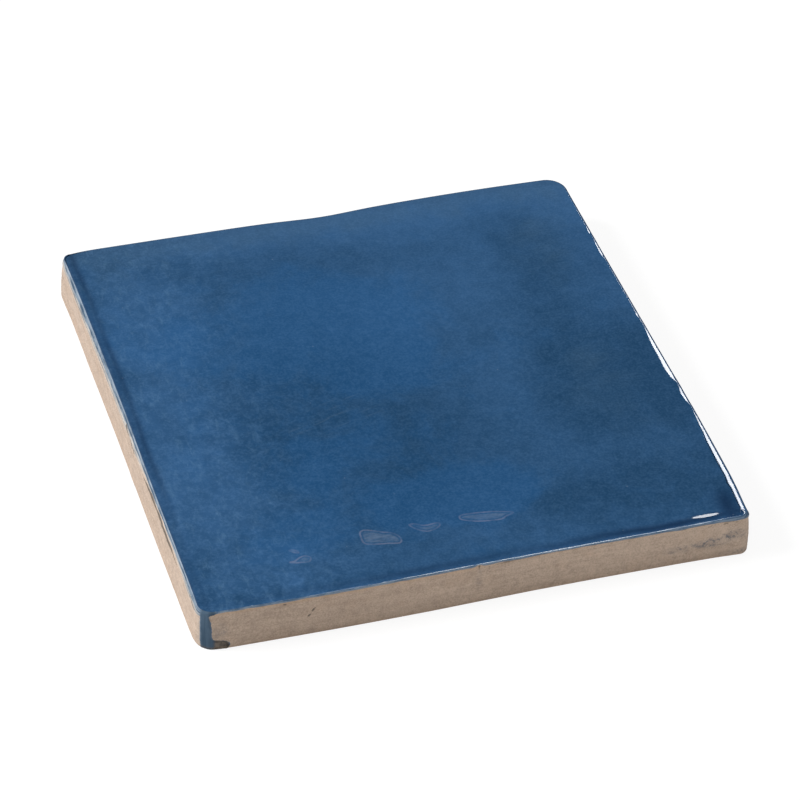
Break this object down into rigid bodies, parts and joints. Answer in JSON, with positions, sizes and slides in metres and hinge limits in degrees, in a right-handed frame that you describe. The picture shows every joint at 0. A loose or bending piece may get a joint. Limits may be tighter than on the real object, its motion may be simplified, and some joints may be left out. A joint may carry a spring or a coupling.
{
  "type": "ceramic wall tile",
  "caption": "Square ceramic wall tile with a glossy, gently wavy glazed face, soft uneven edges, bare fired clay sides and a flat unglazed back.",
  "frame": {"origin": "under the middle of the tile's box, on the plane of its flat back", "axes": "+Z out of the glazed face, +X to the right and +Y to the back as the picture shows the tile"},
  "size_m": [0.1012, 0.1016, 0.0092],
  "materials": {
    "glazed_tile": "glossy mottled blue glaze on the face and rim, bare matt beige biscuit on the sides and back"
  },
  "bodies": {
    "root": {"wall_tile": "glazed_tile"}
  },
  "joints": []
}
